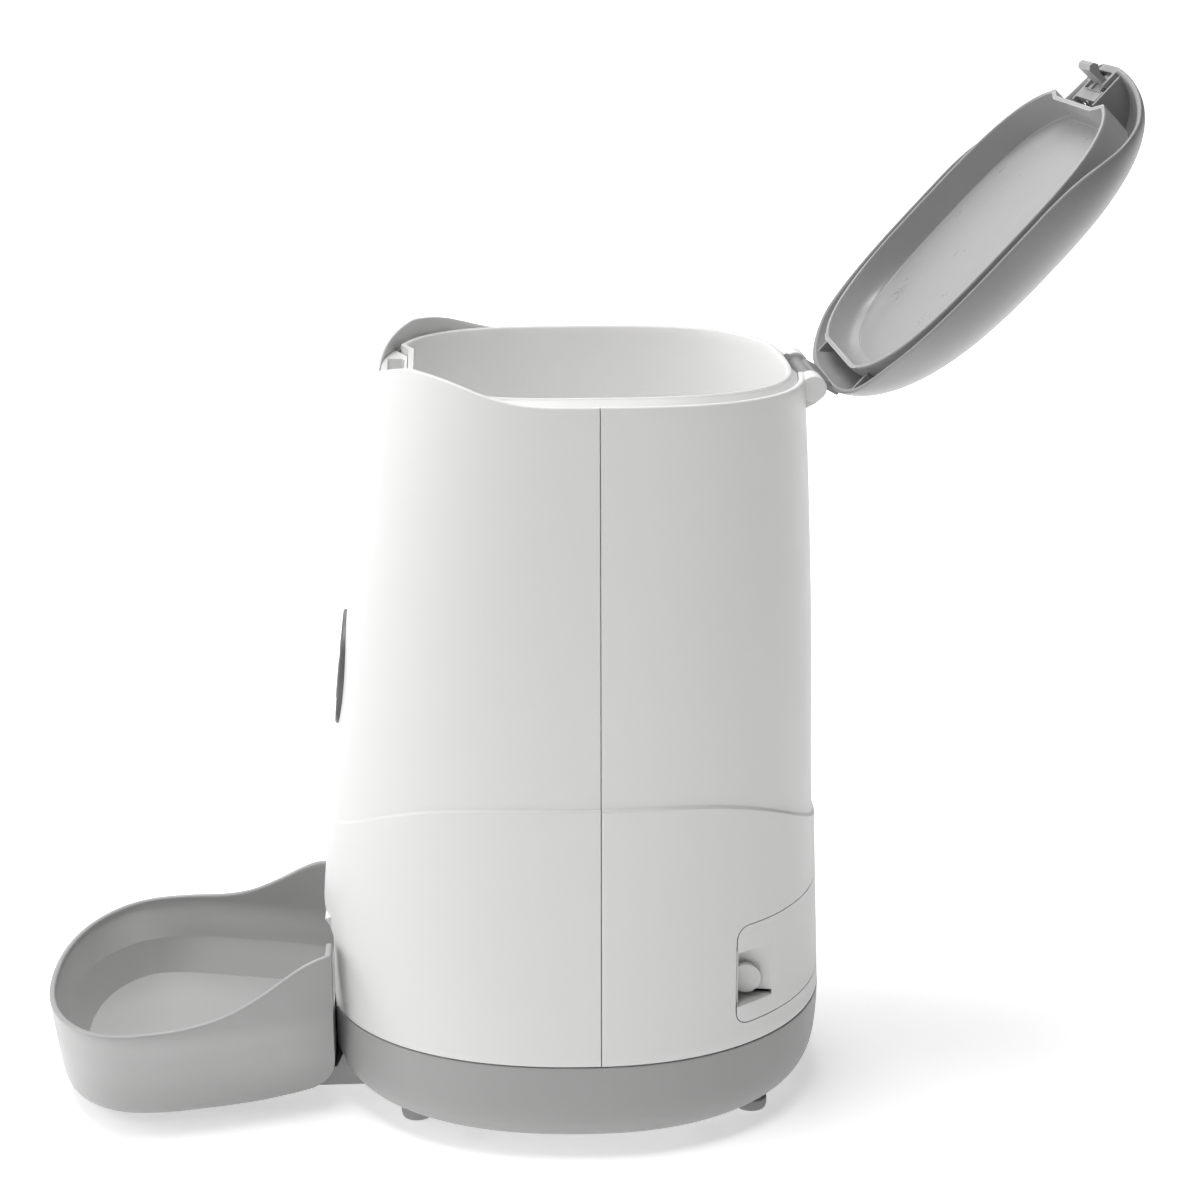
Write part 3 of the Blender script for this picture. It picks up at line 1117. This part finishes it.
def metal(name, col, rough=0.28, brushed=True, seed=0.0, var=0.06, bevel=0.0002):
    m = Mat(name)
    c = np.array(col, float)
    st = (1.0, 1.0, 14.0) if brushed else None
    g = m.rng(m.noise(700.0, 3.0, 0.6, stretch=st, seed=seed), 0.3, 0.7, 0.0, 1.0)
    base = m.mix(g, tuple(np.clip(c * (1 - var), 0, 1)), tuple(np.clip(c * (1 + var), 0, 1)))
    base = m.mix(m.rng(m.noise(90.0, 4.0, 0.6, seed=seed + 2), 0.52, 0.72, 0.0, 0.45), base, tuple(np.clip(c * 0.72, 0, 1)))
    m.ln(base, m.p.inputs["Base Color"])
    m.ln(m.rng(m.noise(300.0, 3.0, 0.6, stretch=st, seed=seed + 1), 0.3, 0.7, rough - 0.07, rough + 0.10), m.p.inputs["Roughness"])
    m.ln(m.bump(m.noise(900.0, 2.0, 0.6, stretch=st, seed=seed), 0.12, 0.00003, m.bevel(bevel)), m.p.inputs["Normal"])
    m.p.inputs["Metallic"].default_value = 1.0
    return m.m


def rubber(name, col, seed=0.0):
    m = Mat(name)
    c = np.array(col, float)
    base = m.mix(m.rng(m.noise(120.0, 4.0, 0.6, seed=seed), 0.3, 0.7, 0.0, 1.0), tuple(c * 0.9), tuple(c * 1.08))
    base = m.mix(m.edge(0.0008), base, tuple(np.clip(c * 1.25, 0, 1)))
    m.ln(base, m.p.inputs["Base Color"])
    m.ln(m.rng(m.noise(600.0, 2.0, 0.6, seed=seed + 1), 0.3, 0.7, 0.62, 0.80), m.p.inputs["Roughness"])
    m.ln(m.bump(m.noise(1200.0, 3.0, 0.6, seed=seed + 2), 0.25, 0.00006, m.bevel(0.0006)), m.p.inputs["Normal"])
    return m.m


def circuit(name):
    """Solder mask over copper tracks."""
    m = Mat(name)
    mp = m.n("ShaderNodeMapping")
    mp.inputs["Scale"].default_value = (260, 260, 260)
    m.ln(m.tc.outputs["Object"], mp.inputs["Vector"])
    br = m.n("ShaderNodeTexBrick")
    br.inputs["Scale"].default_value = 1.0
    br.inputs["Mortar Size"].default_value = 0.06
    br.inputs["Brick Width"].default_value = 2.6
    br.inputs["Row Height"].default_value = 0.55
    br.inputs["Color1"].default_value = (0, 0, 0, 1)
    br.inputs["Color2"].default_value = (0, 0, 0, 1)
    br.inputs["Mortar"].default_value = (1, 1, 1, 1)
    m.ln(mp.outputs["Vector"], br.inputs["Vector"])
    track = m.rng(br.outputs["Color"], 0.4, 0.6, 0.0, 1.0)
    base = m.mix(m.rng(m.noise(60, 3.0), 0.3, 0.7, 0.0, 1.0), (0.012, 0.105, 0.045), (0.016, 0.135, 0.060))
    base = m.mix(track, base, (0.030, 0.235, 0.105))
    vo = m.n("ShaderNodeTexVoronoi")
    vo.inputs["Scale"].default_value = 330.0
    m.ln(m.tc.outputs["Object"], vo.inputs["Vector"])
    pad = m.rng(vo.outputs["Distance"], 0.13, 0.10, 0.0, 1.0)
    base = m.mix(pad, base, (0.62, 0.60, 0.55))
    m.ln(base, m.p.inputs["Base Color"])
    m.ln(m.rng(pad, 0, 1, 0.34, 0.24), m.p.inputs["Roughness"])
    m.ln(m.bump(track, 0.4, 0.00003, m.bevel(0.0002)), m.p.inputs["Normal"])
    return m.m


def winding(name, col):
    """Fine parallel enamelled wire."""
    m = Mat(name)
    w = m.n("ShaderNodeTexWave", wave_type="BANDS", bands_direction="DIAGONAL")
    w.inputs["Scale"].default_value = 520.0
    w.inputs["Distortion"].default_value = 0.5
    m.ln(m.tc.outputs["Object"], w.inputs["Vector"])
    c = np.array(col, float)
    m.ln(m.mix(w.outputs["Fac"], tuple(c * 0.6), tuple(np.clip(c * 1.15, 0, 1))), m.p.inputs["Base Color"])
    m.ln(m.rng(m.noise(200, 3.0), 0.3, 0.7, 0.22, 0.36), m.p.inputs["Roughness"])
    m.ln(m.bump(w.outputs["Fac"], 0.6, 0.00012), m.p.inputs["Normal"])
    m.p.inputs["Metallic"].default_value = 0.85
    return m.m


def cell(name):
    """Plain two-tone battery jacket."""
    m = Mat(name)
    sp = m.n("ShaderNodeSeparateXYZ")
    m.ln(m.tc.outputs["Object"], sp.inputs["Vector"])
    band = m.rng(sp.outputs["Y"], 0.0650, 0.0655, 0.0, 1.0)
    base = m.mix(band, (0.035, 0.038, 0.042), (0.62, 0.38, 0.12))
    base = m.mix(m.rng(m.noise(140, 4.0), 0.3, 0.7, 0.0, 0.25), base, (0.10, 0.10, 0.10))
    m.ln(base, m.p.inputs["Base Color"])
    m.ln(m.rng(m.noise(300, 3.0), 0.3, 0.7, 0.18, 0.30), m.p.inputs["Roughness"])
    m.ln(m.bump(m.noise(220, 3.0), 0.10, 0.00005, m.bevel(0.0005)), m.p.inputs["Normal"])
    return m.m


WHITE, INSIDE = 0.74, 0.96
MATS = {
    "shell_white": plastic("shell_white", (WHITE, WHITE * 0.998, WHITE * 0.99), rough=0.42, spec=0.32, var=0.006, grain=0.10, wear=0.25, wear_to=1.05, seed=1.0),
    "hopper_white": plastic("hopper_white", (INSIDE, INSIDE * 0.998, INSIDE * 0.992), rough=0.38, top=0.62, var=0.006, grain=0.06, wear=0.2, wear_to=1.05, seed=4.0),
    "tray_grey": plastic("tray_grey", (0.357, 0.357, 0.355), rough=0.38, spec=0.35, var=0.015, grain=0.12, wear=0.7, wear_to=1.5, seed=7.0),
    "dish_grey": plastic("dish_grey", (0.360, 0.360, 0.358), rough=0.34, var=0.015, grain=0.10, edge_r=0.0009, wear=0.9, wear_to=1.9, seed=9.0),
    "lid_grey": plastic("lid_grey", (0.240, 0.240, 0.240), rough=0.38, spec=0.28, under=0.55, var=0.015, grain=0.12, edge_r=0.0009, wear=0.9, wear_to=2.3, seed=12.0),
    "tub_grey": plastic("tub_grey", (0.312, 0.312, 0.312), rough=0.32, var=0.015, grain=0.02, edge_r=0.0009, wear=0.9, wear_to=2.0, bevel=0.0, seed=15.0, waviness=0.04),
    "latch_grey": plastic("latch_grey", (0.260, 0.260, 0.260), rough=0.34, var=0.02, grain=0.10, wear=0.4, wear_to=1.25, bevel=0.0003, seed=17.0),
    "panel_grey": plastic("panel_grey", (0.115, 0.117, 0.120), rough=0.36, var=0.03, grain=0.16, wear=0.5, wear_to=1.5, seed=19.0),
    "key_soft": plastic("key_soft", (0.34, 0.345, 0.35), rough=0.55, var=0.02, grain=0.2, wear=0.4, wear_to=1.2, seed=21.0),
    "window_dark": plastic("window_dark", (0.012, 0.013, 0.015), rough=0.10, var=0.05, grain=0.0, wear=0.3, wear_to=2.0, bevel=0.0003, waviness=0.02, seed=23.0),
    "rotor_soft": plastic("rotor_soft", (0.66, 0.67, 0.67), rough=0.5, var=0.02, grain=0.15, seed=25.0),
    "gear_nylon": plastic("gear_nylon", (0.72, 0.70, 0.62), rough=0.42, var=0.03, grain=0.12, seed=27.0, bevel=0.0002),
    "box_black": plastic("box_black", (0.030, 0.031, 0.033), rough=0.45, var=0.08, grain=0.2, wear=0.5, wear_to=2.2, seed=29.0),
    "chip_black": plastic("chip_black", (0.022, 0.022, 0.024), rough=0.5, var=0.1, grain=0.25, wear=0.4, wear_to=2.5, seed=31.0, bevel=0.0002),
    "duct_grey": plastic("duct_grey", (0.55, 0.55, 0.55), rough=0.44, var=0.02, grain=0.12, seed=33.0),
    "foot_rubber": rubber("foot_rubber", (0.36, 0.36, 0.36), 35.0),
    "zinc": metal("zinc", (0.62, 0.62, 0.60), 0.30, False, 37.0),
    "pin_steel": metal("pin_steel", (0.56, 0.56, 0.56), 0.24, True, 39.0),
    "spring": metal("spring", (0.60, 0.59, 0.57), 0.22, False, 41.0, bevel=0.0001),
    "motor_can": metal("motor_can", (0.55, 0.56, 0.57), 0.32, True, 43.0, bevel=0.0006),
    "circuit": circuit("circuit"),
    "coil": winding("coil", (0.80, 0.36, 0.16)),
    "cell": cell("cell"),
}
USE = {
    "front_housing": "shell_white", "rear_housing": "shell_white", "battery_door": "shell_white", "cover_tab_right": "shell_white", "cover_tab_left": "shell_white",
    "hopper_tub": "hopper_white", "latch_catch": "hopper_white", "base": "tray_grey", "foot_pads": "foot_rubber", "base_screws": "zinc",
    "lid_cover": "lid_grey", "lid_inner_tub": "tub_grey", "latch_button": "latch_grey", "latch_slider": "latch_grey", "latch_coil": "spring", "hinge_rod": "pin_steel",
    "food_dish": "dish_grey", "control_panel": "panel_grey", "status_window": "window_dark", "feed_button": "key_soft", "panel_board": "circuit",
    "metering_housing": "duct_grey", "metering_rotor": "rotor_soft", "rotor_shaft": "pin_steel", "rotor_gear": "gear_nylon", "motor_pinion": "gear_nylon",
    "gear_motor": "motor_can", "outlet_chute": "duct_grey", "battery_box": "box_black", "batteries": "cell", "battery_contacts": "zinc",
    "dc_jack": "box_black", "main_board": "circuit", "board_components": "chip_black", "board_posts": "duct_grey", "reader_coil": "coil",
}
for ob in list(bpy.data.objects):
    if ob.type != "MESH" or ob.name not in USE:
        continue
    mt = MATS[USE[ob.name]]
    if not ob.material_slots:
        ob.data.materials.append(mt)
    for s in ob.material_slots:
        s.material = mt

# -------------------------------------------------------- floor, light and camera
bm = bmesh.new()
bmesh.ops.create_grid(bm, x_segments=8, y_segments=8, size=14.0)
me = bpy.data.meshes.new("floor")
bm.to_mesh(me)
bm.free()
floor = bpy.data.objects.new("floor", me)
floor.location = (0, 0, -0.0006)
COL.objects.link(floor)
fm = Mat("floor_pale")
fm.ln(fm.mix(fm.rng(fm.noise(2.0, 3.0), 0.3, 0.7, 0.0, 1.0), (0.90, 0.90, 0.90), (0.92, 0.92, 0.92)), fm.p.inputs["Base Color"])
fm.p.inputs["Roughness"].default_value = 0.9
fm.p.inputs["Specular IOR Level"].default_value = 0.0
fm.p.inputs["Emission Color"].default_value = (1, 1, 1, 1)
# the floor glows a little, more so far behind the object
sp = fm.n("ShaderNodeSeparateXYZ")
fm.ln(fm.tc.outputs["Object"], sp.inputs[0])
fm.ln(fm.rng(sp.outputs["X"], -0.3, -1.1, 0.48, 1.10), fm.p.inputs["Emission Strength"])
floor.data.materials.append(fm.m)

world = bpy.data.worlds.new("studio")
SCN.world = world
world.use_nodes = True
wt = world.node_tree
wt.nodes.clear()
wo = wt.nodes.new("ShaderNodeOutputWorld")
bg = wt.nodes.new("ShaderNodeBackground")
tcw = wt.nodes.new("ShaderNodeTexCoord")
sepw = wt.nodes.new("ShaderNodeSeparateXYZ")
wt.links.new(tcw.outputs["Generated"], sepw.inputs[0])


def wrange(sock, a0, a1, b0, b1):
    nd = wt.nodes.new("ShaderNodeMapRange")
    nd.interpolation_type = "SMOOTHSTEP"
    for k, v in zip(("From Min", "From Max", "To Min", "To Max"), (a0, a1, b0, b1)):
        nd.inputs[k].default_value = v
    wt.links.new(sock, nd.inputs["Value"])
    return nd.outputs["Result"]


def wadd(a, b):
    nd = wt.nodes.new("ShaderNodeMath")
    nd.operation = "ADD"
    wt.links.new(a, nd.inputs[0])
    wt.links.new(b, nd.inputs[1])
    return nd.outputs[0]


# bright backdrop behind the object and a soft bright front; the room behind is dark
W_BACK, W_FRONT = 0.73, 0.63
lvl = wrange(sepw.outputs["X"], -0.97, -0.80, W_BACK, 0.0)
lvl = wadd(lvl, wrange(sepw.outputs["Y"], -0.9, 0.2, W_FRONT, 0.0))
wt.links.new(lvl, bg.inputs["Strength"])
bg.inputs["Color"].default_value = (1, 1, 1, 1)
wt.links.new(bg.outputs[0], wo.inputs[0])


def area(name, loc, target, size, energy, shape="RECTANGLE", size_y=None):
    d = bpy.data.lights.new(name, "AREA")
    d.shape = shape
    d.size = size
    d.size_y = size_y or size
    d.energy = energy
    o = bpy.data.objects.new(name, d)
    o.location = loc
    o.rotation_euler = (Vector(target) - Vector(loc)).to_track_quat("-Z", "Y").to_euler()
    COL.objects.link(o)
    return o


area("top", (0.1, -0.2, 2.2), (0, 0, 0.2), 1.2, 38.0)
area("left", (-0.5, -2.2, 0.9), (0, 0, 0.2), 1.3, 12.0)
area("top_back", (-1.5, -0.3, 1.8), (0, 0, 0.2), 1.2, 12.6)
area("key", (0.9, -1.9, 1.5), (0, 0, 0.2), 1.3, 3.5)

cd = bpy.data.cameras.new("camera")
cd.lens = 78.83
cd.sensor_width = 36.0
cam = bpy.data.objects.new("camera", cd)
cam.location = (1.01170, -0.05708 + SHIFT_Y * MM, 0.47055)
cam.rotation_euler = (Vector((0, 0.00533 + SHIFT_Y * MM, 0.19705)) - cam.location).to_track_quat("-Z", "Y").to_euler()
COL.objects.link(cam)
SCN.camera = cam
SCN.view_settings.view_transform = "Standard"
SCN.view_settings.look = "None"
